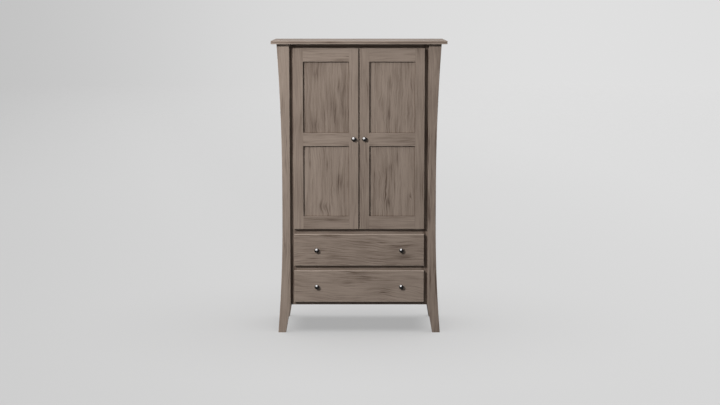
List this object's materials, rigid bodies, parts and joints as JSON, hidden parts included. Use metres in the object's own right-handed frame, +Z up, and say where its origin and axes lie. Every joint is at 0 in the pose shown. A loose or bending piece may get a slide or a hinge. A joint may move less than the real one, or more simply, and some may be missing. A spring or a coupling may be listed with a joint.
{
  "type": "tv armoire",
  "caption": "Freestanding wooden television armoire on flared corner posts, with panelled doors over drawers, a recessed face frame, round metal knobs and an overhanging top.",
  "frame": {"origin": "on the floor, under the middle of the whole box", "axes": "+Z up, front with doors and drawers towards -Y, +X to the right seen from the front"},
  "size_m": [1.086, 0.602, 1.829],
  "materials": {
    "stained_wood": "grey-brown stain under a satin clear coat",
    "inner_wood": "grey-brown stain, low sheen",
    "drawer_wood": "clear lacquered maple",
    "knob_metal": "polished dark nickel",
    "hardware_steel": "zinc plated",
    "catch_plastic": "dark brown moulded plastic"
  },
  "bodies": {
    "case": {"back_panel": "inner_wood", "bottom_board": "inner_wood", "case_cleats": "inner_wood", "door_catches": "catch_plastic", "face_bottom_rail": "stained_wood", "face_middle_rails": "stained_wood", "face_stiles": "stained_wood", "face_top_rail": "stained_wood", "front_left_post": "stained_wood", "front_right_post": "stained_wood", "hinge_frame_leaves": "hardware_steel", "media_shelf": "inner_wood", "rear_left_post": "stained_wood", "rear_rails": "inner_wood", "rear_right_post": "stained_wood", "side_panels": "stained_wood", "side_rails": "stained_wood", "slide_cabinet_members": "hardware_steel", "top_board": "stained_wood", "tv_deck": "inner_wood"},
    "left_door": {"left_door_bottom_rail": "stained_wood", "left_door_hinge_leaves": "hardware_steel", "left_door_hinge_pins": "hardware_steel", "left_door_hinge_stile": "stained_wood", "left_door_knob": "knob_metal", "left_door_knob_screw": "hardware_steel", "left_door_lower_panel": "stained_wood", "left_door_meeting_stile": "stained_wood", "left_door_middle_rail": "stained_wood", "left_door_strike": "hardware_steel", "left_door_top_rail": "stained_wood", "left_door_upper_panel": "stained_wood"},
    "right_door": {"right_door_bottom_rail": "stained_wood", "right_door_hinge_leaves": "hardware_steel", "right_door_hinge_pins": "hardware_steel", "right_door_hinge_stile": "stained_wood", "right_door_knob": "knob_metal", "right_door_knob_screw": "hardware_steel", "right_door_lower_panel": "stained_wood", "right_door_meeting_stile": "stained_wood", "right_door_middle_rail": "stained_wood", "right_door_strike": "hardware_steel", "right_door_top_rail": "stained_wood", "right_door_upper_panel": "stained_wood"},
    "upper_drawer": {"upper_drawer_box_bottom": "drawer_wood", "upper_drawer_box_ends": "drawer_wood", "upper_drawer_box_sides": "drawer_wood", "upper_drawer_front": "stained_wood", "upper_drawer_knob_screws": "hardware_steel", "upper_drawer_knobs": "knob_metal", "upper_drawer_slide_runners": "hardware_steel"},
    "lower_drawer": {"lower_drawer_box_bottom": "drawer_wood", "lower_drawer_box_ends": "drawer_wood", "lower_drawer_box_sides": "drawer_wood", "lower_drawer_front": "stained_wood", "lower_drawer_knob_screws": "hardware_steel", "lower_drawer_knobs": "knob_metal", "lower_drawer_slide_runners": "hardware_steel"},
    "upper_slides": {"upper_drawer_slide_middles": "hardware_steel"},
    "lower_slides": {"lower_drawer_slide_middles": "hardware_steel"}
  },
  "joints": [
    {"name": "left_door_hinge", "type": "hinge", "parent": "case", "child": "left_door", "pos_m": [-0.4025, -0.262, 1.22], "axis": [0, 0, -1], "range_deg": [0, 105]},
    {"name": "right_door_hinge", "type": "hinge", "parent": "case", "child": "right_door", "pos_m": [0.4025, -0.262, 1.22], "axis": [0, 0, 1], "range_deg": [0, 105]},
    {"name": "upper_drawer_slide", "type": "slide", "parent": "case", "child": "upper_drawer", "axis": [0, -1, 0], "range_m": [0, 0.45]},
    {"name": "lower_drawer_slide", "type": "slide", "parent": "case", "child": "lower_drawer", "axis": [0, -1, 0], "range_m": [0, 0.45]},
    {"name": "upper_slide_extension", "type": "slide", "parent": "case", "child": "upper_slides", "axis": [0, -1, 0], "range_m": [0, 0.225]},
    {"name": "lower_slide_extension", "type": "slide", "parent": "case", "child": "lower_slides", "axis": [0, -1, 0], "range_m": [0, 0.225]}
  ],
  "couplings": [
    {"joint": "upper_slide_extension", "follows": "upper_drawer_slide", "ratio": 0.5},
    {"joint": "lower_slide_extension", "follows": "lower_drawer_slide", "ratio": 0.5}
  ]
}
